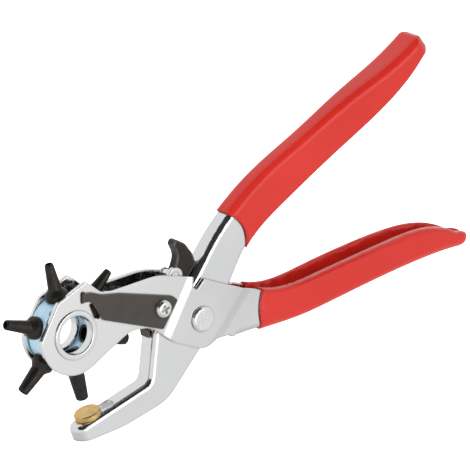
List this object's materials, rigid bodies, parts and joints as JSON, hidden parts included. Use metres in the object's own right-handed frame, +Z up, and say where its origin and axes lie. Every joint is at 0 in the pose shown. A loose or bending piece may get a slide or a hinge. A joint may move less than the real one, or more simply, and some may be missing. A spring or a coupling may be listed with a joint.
{
  "type": "rotary hole punch",
  "caption": "Hand plier for leather with a turning wheel of punch tubes on one lever and a brass anvil on the other, sprung open, with a thumb latch.",
  "frame": {"origin": "centre of the punch wheel's hub, on the mid-plane between the two cheeks", "axes": "+Z up, tool standing on edge in the XZ plane; +X from the wheel towards the handles; -Y is the front side with the index spring; pivot, wheel and latch axes run along Y"},
  "size_m": [0.2453, 0.0227, 0.1539],
  "materials": {
    "bright_steel": "bright polished chrome plate on pressed sheet steel",
    "bush_steel": "bright plated, rolled edges",
    "plain_steel": "turned, oiled",
    "zinc_fastener": "bright zinc with tool marks",
    "red_pvc": "glossy dip-moulded PVC",
    "black_oxide": "warm black oxide, satin",
    "black_spring": "dark brown-black oxide on spring steel, satin",
    "black_latch": "black oxide, satin, rounded edges",
    "blue_drum": "pale blue passivated zinc, satin",
    "brass": "turned brass with a scratched top"
  },
  "bodies": {
    "lower_lever": {"wheel_lever": "bright_steel", "lower_grip": "red_pvc", "main_pivot_rivet": "zinc_fastener", "pivot_spacer_tube": "plain_steel", "pivot_washers": "plain_steel", "wheel_bush_front": "bush_steel", "wheel_bush_rear": "bush_steel", "index_spring": "black_spring", "index_spring_screw": "zinc_fastener", "index_spring_nut": "zinc_fastener", "cheek_spacer": "plain_steel", "opening_spring": "black_spring"},
    "upper_lever": {"anvil_lever": "bright_steel", "upper_grip": "red_pvc", "anvil": "brass", "latch_pin": "zinc_fastener"},
    "wheel": {"punch_wheel": "blue_drum", "punch_tube_2_0mm": "black_oxide", "punch_tube_2_5mm": "black_oxide", "punch_tube_3_0mm": "black_oxide", "punch_tube_3_5mm": "black_oxide", "punch_tube_4_0mm": "black_oxide", "punch_tube_4_5mm": "black_oxide"},
    "latch": {"locking_latch": "black_latch"}
  },
  "joints": [
    {"name": "handles", "type": "hinge", "parent": "lower_lever", "child": "upper_lever", "pos_m": [0.0669, 0, -0.0035], "axis": [0, 1, 0], "range_deg": [0, 5.6], "deforming": ["opening_spring"]},
    {"name": "wheel_turn", "type": "hinge", "parent": "lower_lever", "child": "wheel", "pos_m": [0, 0, 0], "axis": [0, 1, 0], "continuous": true, "deforming": ["index_spring"]},
    {"name": "latch_swing", "type": "hinge", "parent": "upper_lever", "child": "latch", "pos_m": [0.0545, 0, 0.017], "axis": [0, 1, 0], "range_deg": [-35, 0]}
  ]
}
